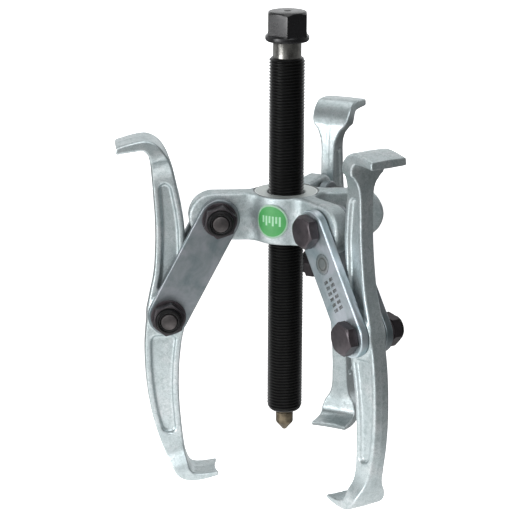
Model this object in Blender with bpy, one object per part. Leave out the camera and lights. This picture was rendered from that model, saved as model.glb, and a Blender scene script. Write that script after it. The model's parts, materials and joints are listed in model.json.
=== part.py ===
"""Gear puller set up with three arms: a threaded pressure spindle through a forged yoke, and three
pairs of link bars that each carry a double-ended jaw. The yoke has a fourth lug, free in this
set-up, which takes the second arm when the tool is used with two arms.

Frame: the origin is the centre of the flat on the spindle's point, +Z runs up the spindle.
An arm's own frame has x outwards from the spindle, y across the arm (the nuts' side) and z up.
"""

import math

import bmesh
import bpy
from mathutils import Vector

MM = 0.001
GAP = 0.3 * MM  # between pieces that touch on the real tool
PAST = 1.0 * MM  # how far a cutter or a joined shape runs past the face it meets

# Spindle, heights above its point
SPINDLE_LENGTH = 251.6 * MM
POINT_FLAT_RADIUS = 1.2 * MM
TIP_RADIUS = 5.15 * MM
TIP_CONE_HEIGHT = 4.8 * MM
TIP_HEIGHT = 12.2 * MM
TIP_STEM_RADIUS = 3.0 * MM
TIP_STEM_LENGTH = 12.0 * MM
THREAD_RADIUS = 10.3 * MM
THREAD_END_ROUND = 4.6 * MM
THREAD_END_WIDTH = 3.68 * MM  # how much narrower than the thread the end face is
NECK_RADIUS = 8.15 * MM
NECK_HEIGHT = 9.5 * MM
FLANGE_RADIUS = 12.6 * MM
FLANGE_HEIGHT = 3.6 * MM
DRIVE_FLATS = 22.0 * MM
DRIVE_HEIGHT = 13.4 * MM
DRIVE_TURN = math.radians(-93.5)  # direction of one of its corners

# Yoke
PIVOT_HEIGHT = 133.0 * MM  # the yoke's pivot axes above the spindle's point
PIVOT_RADIUS = 39.3 * MM
YOKE_HALF_HEIGHT = 14.2 * MM
HUB_RADIUS = 20.0 * MM
HUB_FILLET = 4.0 * MM
HUB_FILLET_END = 262.0  # degrees: just short of the 270 where it would run along the lug's side
SPOT_FACE_RADIUS = 18.7 * MM
SPOT_FACE_DEPTH = 0.6 * MM
BORE_RADIUS = THREAD_RADIUS + GAP
LUG_HALF_THICKNESS = 5.9 * MM
LUG_END_CENTRE = 42.5 * MM
EDGE_CHAMFER = 1.0 * MM
MOST_CHAMFER_SHARE = 0.3  # of a jaw section's depth, where the jaw is thin
COPLANAR_STEP = 0.1 * MM  # keeps the faces of joined shapes apart

# Round label on the hub
LABEL_RADIUS = 10.0 * MM
LABEL_THICKNESS = 0.5 * MM
LABEL_AZIMUTH = math.radians(242.0)

# Link bars
LINK_LENGTH = 65.1 * MM
LINK_HALF_WIDTH = 11.8 * MM
LINK_THICKNESS = 5.0 * MM
LINK_INNER_FACE = LUG_HALF_THICKNESS + GAP

# M10 fasteners
BOLT_RADIUS = 5.0 * MM
BOLT_HOLE_RADIUS = BOLT_RADIUS + GAP
HEX_FLATS = 17.0 * MM
BOLT_HEAD_HEIGHT = 6.4 * MM
WASHER_RADIUS = 10.2 * MM
WASHER_THICKNESS = 1.6 * MM
NUT_HEX_HEIGHT = 6.6 * MM
NUT_HEIGHT = 9.2 * MM
NUT_COLLAR_RADIUS = 7.3 * MM
INSERT_RADIUS = 6.3 * MM
INSERT_THICKNESS = 2.0 * MM
HEX_TURN = math.radians(43.0)
HEX_CHAMFER = 0.8 * MM
BOLT_END_CHAMFER = 0.6 * MM
HOLE_SEGMENTS = 20

# Jaws, about the jaw's pivot: the width is the whole width across the arm
BOSS_RADIUS = 12.3 * MM
BOSS_HALF_THICKNESS = 5.8 * MM
UPPER_STEM_WIDTH = 8.8
STEM_WIDTH = 10.0
CLAW_WIDTH = 24.0
TOE_WIDTH = 23.0
POCKET_RIM = 3.6 * MM
WEB_HALF_THICKNESS = 2.6 * MM
UPPER_POCKET = (13.5 * MM, 78.0 * MM)
LOWER_POCKET = (-74.5 * MM, -13.5 * MM)
# A pocket's outline: the share of its length, and the share of the width between the rims there
POCKET_SHAPE = (
    (0.0, 0.35),
    (0.03, 0.75),
    (0.1, 1.0),
    (0.3, 1.0),
    (0.5, 1.0),
    (0.7, 1.0),
    (0.9, 1.0),
    (0.97, 0.75),
    (1.0, 0.35),
)

# Jaw sections in mm from the tip of the claw to the tip of the toe, as (x, z) on the inner side,
# (x, z) on the outer side, and the width
JAW_SECTIONS = (
    ((29.6, 101.0), (29.4, 96.4), CLAW_WIDTH),
    ((21.0, 103.6), (21.0, 97.7), CLAW_WIDTH),
    ((12.5, 105.1), (14.4, 98.4), CLAW_WIDTH),
    ((6.8, 103.4), (12.0, 97.2), CLAW_WIDTH),
    ((2.4, 99.4), (10.7, 95.3), CLAW_WIDTH),
    ((-0.7, 94.4), (10.1, 92.0), 22.5),
    ((-3.0, 88.0), (9.1, 87.0), 13.6),
    ((-4.8, 81.0), (8.6, 81.0), UPPER_STEM_WIDTH + 0.6),
    ((-7.6, 68.0), (7.6, 68.0), UPPER_STEM_WIDTH),
    ((-9.8, 54.0), (6.8, 54.0), UPPER_STEM_WIDTH),
    ((-10.4, 40.0), (6.9, 40.0), UPPER_STEM_WIDTH),
    ((-10.6, 24.0), (8.0, 24.0), UPPER_STEM_WIDTH + 0.4),
    ((-11.4, 8.0), (11.2, 8.0), STEM_WIDTH),
    ((-10.6, -5.0), (12.6, -4.0), STEM_WIDTH),
    ((-8.0, -19.0), (13.7, -18.0), STEM_WIDTH),
    ((-6.6, -34.0), (13.5, -34.0), STEM_WIDTH),
    ((-6.3, -49.0), (12.0, -50.0), STEM_WIDTH),
    ((-7.2, -64.0), (9.3, -65.0), STEM_WIDTH),
    ((-8.6, -77.5), (5.4, -78.5), STEM_WIDTH + 0.4),
    ((-9.8, -85.5), (2.2, -87.0), 13.2),
    ((-11.2, -91.0), (-1.2, -94.5), 20.6),
    ((-12.7, -95.5), (-5.4, -100.4), TOE_WIDTH),
    ((-15.5, -98.0), (-11.2, -103.4), TOE_WIDTH),
    ((-21.0, -98.2), (-19.0, -102.9), TOE_WIDTH),
    ((-29.5, -97.0), (-29.5, -99.9), TOE_WIDTH),
)

# Azimuth of the yoke's fourth lug, opposite the left arm
SPARE_LUG_AZIMUTH = math.radians(2.0)

# Arm: azimuth, drop of its links below the horizontal, and how far its jaw's toe leans outwards
ARMS = {
    "left": (math.radians(182.0), math.radians(62.6), math.radians(0.0)),
    "front": (math.radians(302.0), math.radians(54.4), math.radians(6.0)),
    "rear": (math.radians(62.0), math.radians(53.0), math.radians(9.8)),
}


# Materials


def metal(name, colour, roughness, metallic=1.0):
    material = bpy.data.materials.new(name)
    material.use_nodes = True
    shader = material.node_tree.nodes["Principled BSDF"]
    shader.inputs["Base Color"].default_value = (*colour, 1.0)
    shader.inputs["Roughness"].default_value = roughness
    shader.inputs["Metallic"].default_value = metallic
    return material


def make_materials():
    return {
        "forged_zinc": metal("forged_zinc", (0.60, 0.66, 0.67), 0.42),
        "link_zinc": metal("link_zinc", (0.52, 0.57, 0.59), 0.34),
        "black_oxide": metal("black_oxide", (0.030, 0.028, 0.030), 0.38),
        "spindle_black": metal("spindle_black", (0.022, 0.021, 0.022), 0.33),
        "tip_steel": metal("tip_steel", (0.20, 0.17, 0.12), 0.45),
        "nylon": metal("nylon", (0.05, 0.05, 0.055), 0.55, metallic=0.0),
        "green_label": metal("green_label", (0.06, 0.44, 0.16), 0.40, metallic=0.0),
    }


# Shapes


def add_object(name, shape, material):
    """A bmesh made into an object whose faces point out."""
    bmesh.ops.recalc_face_normals(shape, faces=shape.faces)
    mesh = bpy.data.meshes.new(name)
    shape.to_mesh(mesh)
    shape.free()
    mesh.shade_smooth()
    mesh.set_sharp_from_angle(angle=math.radians(30.0))
    thing = bpy.data.objects.new(name, mesh)
    if material:
        mesh.materials.append(material)
    bpy.context.scene.collection.objects.link(thing)
    return thing


def add_cutter(name, shape):
    cutter = add_object(name, shape, None)
    cutter.hide_render = True
    cutter.display_type = "WIRE"
    return cutter


def combine(thing, other, operation):
    modifier = thing.modifiers.new(f"{operation.lower()} {other.name}", "BOOLEAN")
    modifier.operation = operation
    modifier.solver = "EXACT"
    modifier.object = other


def bridged(rings, closed=False):
    """A bmesh of quads from ring to ring, with both ends capped unless the rings close on themselves."""
    shape = bmesh.new()
    rows = [[shape.verts.new(point) for point in ring] for ring in rings]
    pairs = list(zip(rows, rows[1:]))
    if closed:
        pairs.append((rows[-1], rows[0]))
    for low, high in pairs:
        for i, corner in enumerate(low):
            j = (i + 1) % len(low)
            shape.faces.new((corner, low[j], high[j], high[i]))
    if not closed:
        shape.faces.new(rows[0])
        shape.faces.new(rows[-1])
    return shape


def turned(profile, segments, axis="Z", phase=0.0):
    """Rings of points turned from (radius, height) pairs about the Z axis, or the arm's Y axis."""
    rings = []
    for radius, height in profile:
        ring = []
        for i in range(segments):
            angle = phase + math.tau * i / segments
            a, b = radius * math.cos(angle), radius * math.sin(angle)
            ring.append(Vector((a, b, height)) if axis == "Z" else Vector((a, height, b)))
        rings.append(ring)
    return rings


def turned_solid(profile, segments, axis="Z", phase=0.0):
    return bridged(turned(profile, segments, axis, phase))


def turned_ring(profile, segments, axis="Z"):
    """A ring turned from a closed (radius, height) outline."""
    return bridged(turned(profile, segments, axis), closed=True)


def prism(outline, low, high):
    """An (x, z) outline extruded across the arm from y = low to y = high."""
    return bridged([[Vector((x, y, z)) for x, z in outline] for y in (low, high)])


def arc(centre, radius, start, end, steps):
    """Points of an arc from start to end degrees, both ends included."""
    points = []
    for i in range(steps + 1):
        angle = math.radians(start + (end - start) * i / steps)
        points.append((centre[0] + radius * math.cos(angle), centre[1] + radius * math.sin(angle)))
    return points


def joined(*shapes):
    """One bmesh that holds the faces of all of them, as separate shells."""
    whole = bmesh.new()
    for shape in shapes:
        mesh = bpy.data.meshes.new("scratch")
        shape.to_mesh(mesh)
        shape.free()
        whole.from_mesh(mesh)
        bpy.data.meshes.remove(mesh)
    return whole


def hexagon(flats, low, high, axis, phase):
    """A hexagon prism whose corners are turned off at its high end."""
    corner = flats / math.sqrt(3.0)
    chamfer = math.copysign(HEX_CHAMFER, high - low)
    profile = ((corner, low), (corner, high - chamfer), (flats / 2.0, high))
    return turned_solid(profile, 6, axis, phase)


def across_arm_holes(places, radius, reach):
    """Cutters for holes through an arm's piece at the (x, z) places."""
    drills = []
    for x, z in places:
        drill = turned_solid(((radius, -reach), (radius, reach)), HOLE_SEGMENTS, "Y")
        bmesh.ops.translate(drill, verts=drill.verts, vec=(x, 0.0, z))
        drills.append(drill)
    return joined(*drills)


# Spindle and its pressure tip


def make_pressure_tip(materials):
    profile = (
        (POINT_FLAT_RADIUS, 0.0),
        (TIP_RADIUS, TIP_CONE_HEIGHT),
        (TIP_RADIUS, TIP_HEIGHT),
        (TIP_STEM_RADIUS, TIP_HEIGHT),
        (TIP_STEM_RADIUS, TIP_HEIGHT + TIP_STEM_LENGTH),
    )
    add_object("pressure_tip", turned_solid(profile, 24), materials["tip_steel"])


def make_spindle(materials):
    end = TIP_HEIGHT + GAP
    end_face_radius = THREAD_RADIUS - THREAD_END_WIDTH
    socket_radius = TIP_STEM_RADIUS + GAP
    head_base = SPINDLE_LENGTH - DRIVE_HEIGHT
    flange_base = head_base - FLANGE_HEIGHT
    thread_top = flange_base - NECK_HEIGHT
    profile = [
        (socket_radius, end + TIP_STEM_LENGTH + GAP),
        (socket_radius, end),
        (end_face_radius, end),
    ]
    for angle in (-60.0, -30.0, 0.0):
        across = THREAD_END_WIDTH * math.cos(math.radians(angle))
        up = THREAD_END_ROUND * (1.0 + math.sin(math.radians(angle)))
        profile.append((end_face_radius + across, end + up))
    profile += [
        (THREAD_RADIUS, thread_top - EDGE_CHAMFER),
        (THREAD_RADIUS - EDGE_CHAMFER, thread_top),
        (NECK_RADIUS, thread_top),
        (NECK_RADIUS, flange_base),
        (FLANGE_RADIUS, flange_base),
        (FLANGE_RADIUS, head_base),
    ]
    spindle = add_object("spindle", turned_solid(profile, 40), materials["spindle_black"])
    sunk = head_base - FLANGE_HEIGHT / 2.0
    drive = hexagon(DRIVE_FLATS, sunk, SPINDLE_LENGTH, "Z", DRIVE_TURN)
    combine(spindle, add_cutter("drive_hexagon", drive), "UNION")


# Yoke


def make_yoke(materials):
    top = PIVOT_HEIGHT + YOKE_HALF_HEIGHT
    bottom = PIVOT_HEIGHT - YOKE_HALF_HEIGHT
    profile = (
        (HUB_RADIUS - EDGE_CHAMFER, bottom),
        (HUB_RADIUS, bottom + EDGE_CHAMFER),
        (HUB_RADIUS, top - EDGE_CHAMFER),
        (HUB_RADIUS - EDGE_CHAMFER, top),
    )
    yoke = add_object("yoke", turned_solid(profile, 48), materials["forged_zinc"])
    lugs = {arm: azimuth for arm, (azimuth, _, _) in ARMS.items()}
    lugs["spare"] = SPARE_LUG_AZIMUTH
    for lug, azimuth in lugs.items():
        combine(yoke, make_yoke_lug(lug, azimuth), "UNION")
        combine(yoke, make_yoke_root(lug, azimuth), "UNION")
    bore = turned_solid(((BORE_RADIUS, bottom - PAST), (BORE_RADIUS, top + PAST)), 40)
    combine(yoke, add_cutter("yoke_bore", bore), "DIFFERENCE")
    spot_floor = top - SPOT_FACE_DEPTH
    spot = turned_solid(((SPOT_FACE_RADIUS, spot_floor), (SPOT_FACE_RADIUS, top + PAST)), 48)
    combine(yoke, add_cutter("yoke_spot_face", spot), "DIFFERENCE")
    for lug, azimuth in lugs.items():
        hole = across_arm_holes([(PIVOT_RADIUS, PIVOT_HEIGHT)], BOLT_HOLE_RADIUS, YOKE_HALF_HEIGHT)
        cutter = add_cutter(f"yoke_pivot_hole_{lug}", hole)
        cutter.rotation_euler.z = azimuth
        combine(yoke, cutter, "DIFFERENCE")


def make_yoke_lug(arm, azimuth):
    """The lug: a flat-sided bar from inside the hub to a round end past the pivot."""
    height = YOKE_HALF_HEIGHT - COPLANAR_STEP
    start = BORE_RADIUS + 2.0 * PAST
    outline = [(start, PIVOT_HEIGHT - height)]
    outline += arc((LUG_END_CENTRE, PIVOT_HEIGHT), height, -90.0, 90.0, 14)
    outline.append((start, PIVOT_HEIGHT + height))
    lug = add_cutter(f"yoke_lug_{arm}", prism(outline, -LUG_HALF_THICKNESS, LUG_HALF_THICKNESS))
    lug.rotation_euler.z = azimuth
    bevel = lug.modifiers.new("forged edge", "BEVEL")
    bevel.width = EDGE_CHAMFER
    bevel.segments = 1
    bevel.limit_method = "ANGLE"
    bevel.angle_limit = math.radians(60.0)
    return lug


def make_yoke_root(arm, azimuth):
    """The fillets where a lug's sides run into the round hub, in plan."""
    centre_y = LUG_HALF_THICKNESS + HUB_FILLET
    centre_x = math.sqrt((HUB_RADIUS + HUB_FILLET) ** 2 - centre_y**2)
    towards_hub = 180.0 + math.degrees(math.atan2(centre_y, centre_x))
    fillet = arc((centre_x, centre_y), HUB_FILLET, towards_hub, HUB_FILLET_END, 4)
    side = [(BORE_RADIUS + 4.0 * PAST, LUG_HALF_THICKNESS / 2.0)] + fillet
    side.append((centre_x + PAST, LUG_HALF_THICKNESS / 2.0))
    outline = side + [(x, -y) for x, y in reversed(side)]
    height = YOKE_HALF_HEIGHT - 2.0 * COPLANAR_STEP
    levels = (PIVOT_HEIGHT - height, PIVOT_HEIGHT + height)
    root = add_cutter(
        f"yoke_root_{arm}", bridged([[Vector((x, y, z)) for x, y in outline] for z in levels])
    )
    root.rotation_euler.z = azimuth
    return root


def make_hub_label(materials):
    """A thin round label that follows the hub between two arms."""
    rings, spokes = 3, 28
    shape = bmesh.new()
    layers = []
    for radius in (HUB_RADIUS + GAP, HUB_RADIUS + GAP + LABEL_THICKNESS):
        rows = []
        for ring in range(rings + 1):
            row = []
            for spoke in range(spokes if ring else 1):
                turn = math.tau * spoke / spokes
                reach = LABEL_RADIUS * ring / rings
                angle = LABEL_AZIMUTH + reach * math.cos(turn) / HUB_RADIUS
                height = PIVOT_HEIGHT + reach * math.sin(turn)
                place = (radius * math.cos(angle), radius * math.sin(angle), height)
                row.append(shape.verts.new(place))
            rows.append(row)
        layers.append(rows)
        for spoke in range(spokes):
            after = (spoke + 1) % spokes
            shape.faces.new((rows[0][0], rows[1][spoke], rows[1][after]))
            for near, far in zip(rows[1:], rows[2:]):
                shape.faces.new((near[spoke], far[spoke], far[after], near[after]))
    inner, outer = layers[0][-1], layers[1][-1]
    for spoke in range(spokes):
        after = (spoke + 1) % spokes
        shape.faces.new((inner[spoke], inner[after], outer[after], outer[spoke]))
    add_object("hub_label", shape, materials["green_label"])


# The pieces of one arm, each in its pivot's own frame


def hang(thing, pivot):
    thing.parent = pivot


def make_pivot(name, parent, place, tilt):
    """An empty on a pivot's axis, its x axis tilted below the horizontal."""
    pivot = bpy.data.objects.new(name, None)
    bpy.context.scene.collection.objects.link(pivot)
    pivot.parent = parent
    pivot.location = place
    pivot.rotation_euler = (0.0, tilt, 0.0)
    return pivot


def make_link(name, pivot, inner_face, outer_face, materials):
    outline = arc((0.0, 0.0), LINK_HALF_WIDTH, 90.0, 270.0, 12)
    outline += arc((LINK_LENGTH, 0.0), LINK_HALF_WIDTH, -90.0, 90.0, 12)
    link = add_object(name, prism(outline, inner_face, outer_face), materials["link_zinc"])
    holes = across_arm_holes([(0.0, 0.0), (LINK_LENGTH, 0.0)], BOLT_HOLE_RADIUS, 3 * LINK_HALF_WIDTH)
    cutter = add_cutter(f"{name}_holes", holes)
    combine(link, cutter, "DIFFERENCE")
    hang(link, pivot)
    hang(cutter, pivot)


def make_fasteners(arm, place, pivot, materials):
    """A hexagon bolt across the arm, with a washer and a self-locking nut on its far side."""
    outer_face = LINK_INNER_FACE + LINK_THICKNESS
    head_base = -outer_face - GAP
    washer_base = outer_face + GAP
    nut_base = washer_base + WASHER_THICKNESS + GAP
    nut_top = nut_base + NUT_HEIGHT
    black = materials["black_oxide"]

    shank = (
        (BOLT_RADIUS, head_base - BOLT_HEAD_HEIGHT / 2.0),
        (BOLT_RADIUS, nut_top),
        (BOLT_RADIUS - BOLT_END_CHAMFER, nut_top + BOLT_END_CHAMFER),
    )
    bolt = add_object(f"{place}_bolt_{arm}", turned_solid(shank, 20, "Y"), black)
    head = hexagon(HEX_FLATS, head_base, head_base - BOLT_HEAD_HEIGHT, "Y", HEX_TURN)
    head_cutter = add_cutter(f"{place}_bolt_head_{arm}", head)
    combine(bolt, head_cutter, "UNION")

    ring = (
        (BOLT_HOLE_RADIUS, washer_base),
        (WASHER_RADIUS, washer_base),
        (WASHER_RADIUS, washer_base + WASHER_THICKNESS),
        (BOLT_HOLE_RADIUS, washer_base + WASHER_THICKNESS),
    )
    washer = add_object(f"{place}_washer_{arm}", turned_ring(ring, 24, "Y"), black)

    body = hexagon(HEX_FLATS, nut_base, nut_base + NUT_HEX_HEIGHT, "Y", HEX_TURN)
    nut = add_object(f"{place}_nut_{arm}", body, black)
    collar = ((NUT_COLLAR_RADIUS, nut_base + NUT_HEX_HEIGHT / 2.0), (NUT_COLLAR_RADIUS, nut_top))
    insert_base = nut_top - INSERT_THICKNESS - 2 * GAP
    seat_radius = INSERT_RADIUS + GAP
    bore = turned_solid(
        (
            (BOLT_HOLE_RADIUS, nut_base - PAST),
            (BOLT_HOLE_RADIUS, insert_base),
            (seat_radius, insert_base),
            (seat_radius, nut_top + PAST),
        ),
        20,
        "Y",
    )
    collar_cutter = add_cutter(f"{place}_nut_collar_{arm}", turned_solid(collar, 24, "Y"))
    bore_cutter = add_cutter(f"{place}_nut_bore_{arm}", bore)
    combine(nut, collar_cutter, "UNION")
    combine(nut, bore_cutter, "DIFFERENCE")

    ring = (
        (BOLT_HOLE_RADIUS, insert_base + GAP),
        (INSERT_RADIUS, insert_base + GAP),
        (INSERT_RADIUS, insert_base + GAP + INSERT_THICKNESS),
        (BOLT_HOLE_RADIUS, insert_base + GAP + INSERT_THICKNESS),
    )
    insert = add_object(f"{place}_nut_insert_{arm}", turned_ring(ring, 20, "Y"), materials["nylon"])
    for thing in (bolt, head_cutter, washer, nut, collar_cutter, bore_cutter, insert):
        hang(thing, pivot)


def edge_at(side, height):
    """The jaw's inner (0) or outer (1) edge x at a height of its stem, from its sections."""
    points = [section[side] for section in JAW_SECTIONS]
    for (x0, z0), (x1, z1) in zip(points, points[1:]):
        if abs(height / MM) < 80.0 and z1 <= height / MM <= z0:
            return (x0 + (x1 - x0) * (z0 - height / MM) / (z0 - z1)) * MM
    raise ValueError("the jaw has no stem at this height")


def pocket_outline(low, high):
    """The outline of a pocket between two heights, inside the jaw's rims, with rounded ends."""
    inner, outer = [], []
    for along, share in POCKET_SHAPE:
        level = low + (high - low) * along
        left = edge_at(0, level) + POCKET_RIM
        right = edge_at(1, level) - POCKET_RIM
        middle, half = (left + right) / 2.0, (right - left) / 2.0 * share
        inner.append((middle - half, level))
        outer.append((middle + half, level))
    return inner + outer[::-1]


def make_jaw(arm, pivot, materials):
    rings = []
    for (x0, z0), (x1, z1), width in JAW_SECTIONS:
        inner, outer = Vector((x0, 0.0, z0)) * MM, Vector((x1, 0.0, z1)) * MM
        across = Vector((0.0, width / 2.0 * MM, 0.0))
        depth = (outer - inner).normalized()
        cut = min(EDGE_CHAMFER, (outer - inner).length * MOST_CHAMFER_SHARE)
        side = across - Vector((0.0, cut, 0.0))
        rings.append(
            [
                inner - side,
                inner + side,
                inner + across + depth * cut,
                outer + across - depth * cut,
                outer + side,
                outer - side,
                outer - across - depth * cut,
                inner - across + depth * cut,
            ]
        )
    jaw = add_object(f"jaw_{arm}", bridged(rings), materials["forged_zinc"])
    boss_profile = ((BOSS_RADIUS, -BOSS_HALF_THICKNESS), (BOSS_RADIUS, BOSS_HALF_THICKNESS))
    boss = add_cutter(f"jaw_boss_{arm}", turned_solid(boss_profile, 32, "Y"))
    combine(jaw, boss, "UNION")
    hole = across_arm_holes([(0.0, 0.0)], BOLT_HOLE_RADIUS, 2 * BOSS_HALF_THICKNESS)
    hole_cutter = add_cutter(f"jaw_hole_{arm}", hole)
    combine(jaw, hole_cutter, "DIFFERENCE")
    reach = 2 * BOSS_HALF_THICKNESS
    sides = ((WEB_HALF_THICKNESS, reach), (-reach, -WEB_HALF_THICKNESS))
    outlines = [pocket_outline(*span) for span in (UPPER_POCKET, LOWER_POCKET)]
    shapes = [prism(outline, *side) for outline in outlines for side in sides]
    pockets = add_cutter(f"jaw_pockets_{arm}", joined(*shapes))
    combine(jaw, pockets, "DIFFERENCE")
    for thing in (jaw, boss, hole_cutter, pockets):
        hang(thing, pivot)


def make_arm(arm, azimuth, drop, lean, materials):
    outer_face = LINK_INNER_FACE + LINK_THICKNESS
    arm_frame = bpy.data.objects.new(f"arm_{arm}", None)
    bpy.context.scene.collection.objects.link(arm_frame)
    arm_frame.rotation_euler.z = azimuth
    upper = (PIVOT_RADIUS, 0.0, PIVOT_HEIGHT)
    lower = (
        PIVOT_RADIUS + LINK_LENGTH * math.cos(drop),
        0.0,
        PIVOT_HEIGHT - LINK_LENGTH * math.sin(drop),
    )
    upper_pivot = make_pivot(f"yoke_pivot_{arm}", arm_frame, upper, drop)
    lower_pivot = make_pivot(f"jaw_pivot_{arm}", arm_frame, lower, drop)
    jaw_pivot = make_pivot(f"jaw_frame_{arm}", arm_frame, lower, -lean)
    make_link(f"link_{arm}_nut_side", upper_pivot, LINK_INNER_FACE, outer_face, materials)
    make_link(f"link_{arm}_head_side", upper_pivot, -outer_face, -LINK_INNER_FACE, materials)
    make_fasteners(arm, "yoke", upper_pivot, materials)
    make_fasteners(arm, "jaw", lower_pivot, materials)
    make_jaw(arm, jaw_pivot, materials)


def main():
    for thing in list(bpy.data.objects):
        bpy.data.objects.remove(thing, do_unlink=True)
    materials = make_materials()
    make_pressure_tip(materials)
    make_spindle(materials)
    make_yoke(materials)
    make_hub_label(materials)
    for arm, (azimuth, drop, lean) in ARMS.items():
        make_arm(arm, azimuth, drop, lean, materials)


main()
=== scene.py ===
"""The visual model of a three-arm gear puller, on a pale studio floor.

Shapes are worked out in millimetres and become metres as they are made into meshes. Forgings and
link bars are fields (negative inside the metal) sampled on a grid and skinned, which gives every
edge and fillet its radius. The other pieces are turned or built ring by ring.
"""

import json
import math

import bmesh
import bpy
import numpy as np
from mathutils import Matrix, Vector


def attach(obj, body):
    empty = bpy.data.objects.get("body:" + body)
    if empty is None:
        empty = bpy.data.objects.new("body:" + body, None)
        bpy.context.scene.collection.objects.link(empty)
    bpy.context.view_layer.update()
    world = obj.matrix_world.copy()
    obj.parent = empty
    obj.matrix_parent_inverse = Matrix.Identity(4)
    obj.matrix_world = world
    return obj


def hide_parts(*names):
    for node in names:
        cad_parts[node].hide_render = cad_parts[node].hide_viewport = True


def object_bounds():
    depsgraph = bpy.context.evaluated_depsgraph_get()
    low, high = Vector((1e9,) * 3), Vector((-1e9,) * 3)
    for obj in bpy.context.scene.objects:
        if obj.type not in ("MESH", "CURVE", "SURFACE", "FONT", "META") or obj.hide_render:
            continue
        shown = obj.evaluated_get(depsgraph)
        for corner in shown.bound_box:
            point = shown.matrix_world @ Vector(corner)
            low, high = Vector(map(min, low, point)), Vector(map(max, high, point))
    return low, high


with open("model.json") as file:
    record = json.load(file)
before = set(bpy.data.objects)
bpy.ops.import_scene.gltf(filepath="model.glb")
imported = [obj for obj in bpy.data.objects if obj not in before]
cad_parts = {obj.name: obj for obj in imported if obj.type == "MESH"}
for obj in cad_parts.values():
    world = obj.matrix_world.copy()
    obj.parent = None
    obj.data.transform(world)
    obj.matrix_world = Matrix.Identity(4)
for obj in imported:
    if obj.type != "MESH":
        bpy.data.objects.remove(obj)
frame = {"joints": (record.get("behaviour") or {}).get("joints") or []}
CAD_BOX = [list(corner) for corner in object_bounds()]

MM = 0.001
ARMS = ("left", "front", "rear")
JOINTS = {joint["name"]: joint for joint in frame["joints"]}
JAW_LEAN = {"left": 0.0, "front": 6.0, "rear": 9.8}  # degrees the toe leans outwards
SPARE_LUG_AZIMUTH = math.radians(2.0)
LABEL_AZIMUTH = math.radians(242.0)
SURFACE_WAVE = 0.05  # how far a forging's surface wanders
PARTING_WIDTH = 0.7  # half the width of the trimmed line where the dies met

# Spindle, mm above its point
PITCH = 1.814
THREAD_RADIUS = 10.3
THREAD_DEPTH = 1.05
SPINDLE_TOP = 251.6
TIP_HEIGHT = 12.2
DRIVE_BASE = SPINDLE_TOP - 13.4
FLANGE_BASE = DRIVE_BASE - 3.6
THREAD_TOP = FLANGE_BASE - 9.5
THREAD_START = TIP_HEIGHT + 0.3
TOP_CHAMFER = 1.2
END_DROP = 3.68  # the thread's lower end is rounded off by this much,
END_LENGTH = 4.6  # over this length
SOCKET_RADIUS = 3.3
SOCKET_TOP = THREAD_START + 12.3
SPINDLE_SEGMENTS = 64
DRIVE_FLATS = 22.0
DRIVE_TURN = math.radians(-93.5)

# Yoke
PIVOT_RADIUS = 39.3
PIVOT_HEIGHT = 133.0
YOKE_HALF_HEIGHT = 14.2
HUB_RADIUS = 20.0
LUG_END = 42.5
LUG_HALF_WIDTH = 5.75
SPOT_FACE_RADIUS = 18.7
SPOT_FACE_HEIGHT = 13.6
BORE_RADIUS = 10.6
BORE_CHAMFER_FROM = 12.7  # above mid height

# Arms
LINK_LENGTH = 65.1
LINK_HALF_WIDTH = 11.8
LINK_INNER_FACE = 6.2
LINK_OUTER_FACE = 11.2
BOLT_HOLE_RADIUS = 5.3
HEX_FLATS = 17.0
HEX_TURN = math.radians(43.0)
HEX_POINTS = 72
HEX_CHAMFER = math.tan(math.radians(28.0))

# Jaw sections from the claw's tip to the toe's tip, about the jaw's pivot: x and z on the inner
# side, x and z on the outer side, the width across, and the radius of the long edges
JAW_SECTIONS = (
    (29.5, 101.0, 29.3, 96.4, 24.0, 0.9),
    (21.0, 103.6, 21.0, 97.7, 24.0, 1.0),
    (12.5, 105.1, 14.4, 98.4, 24.0, 1.0),
    (6.8, 103.4, 12.0, 97.2, 24.0, 1.0),
    (2.4, 99.4, 10.9, 95.6, 24.0, 1.1),
    (-0.7, 94.4, 10.1, 92.6, 22.4, 1.2),
    (-2.0, 91.0, 9.6, 90.0, 17.2, 0.9),
    (-3.2, 87.5, 9.1, 87.0, 13.0, 1.0),
    (-4.8, 81.0, 8.6, 81.0, 9.6, 1.0),
    (-7.6, 68.0, 7.6, 68.0, 9.0, 1.0),
    (-9.8, 54.0, 6.8, 54.0, 9.0, 1.0),
    (-10.4, 40.0, 6.9, 40.0, 9.0, 1.0),
    (-10.6, 24.0, 8.0, 24.0, 9.4, 1.0),
    (-11.4, 8.0, 11.2, 8.0, 10.0, 1.0),
    (-10.6, -5.0, 12.6, -4.0, 10.0, 1.0),
    (-8.0, -19.0, 13.7, -18.0, 10.0, 1.0),
    (-6.6, -34.0, 13.5, -34.0, 10.0, 1.0),
    (-6.3, -49.0, 12.0, -50.0, 10.0, 1.0),
    (-7.2, -64.0, 9.3, -65.0, 10.0, 1.0),
    (-8.6, -77.5, 5.4, -78.5, 10.6, 1.0),
    (-9.8, -85.5, 2.2, -87.0, 13.0, 0.9),
    (-11.2, -91.0, -1.2, -94.5, 20.4, 1.1),
    (-12.7, -95.5, -5.4, -100.4, 23.0, 1.0),
    (-15.5, -98.0, -11.2, -102.9, 23.0, 0.9),
    (-21.0, -98.2, -19.0, -102.5, 23.0, 0.8),
    (-29.5, -97.0, -29.5, -99.9, 23.0, 0.7),
)
JAW_TIP_ROUND = 0.9
JAW_REACH = 29.5
BOSS_RADIUS = 12.3
BOSS_HALF_WIDTH = 5.8
# The pockets' heights from end to end, and half the web left between the two sides' pockets
JAW_POCKETS = (((13.5, 78.0), 2.5), ((-74.5, -13.5), 3.1))
POCKET_RIM = 3.5
# How deep the tips are hollowed across, and to what radius
TOE_HOLLOW = (1.8, 38.0)
CLAW_HOLLOW = (0.7, 110.0)


# Fields: a value is negative inside the metal


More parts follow.
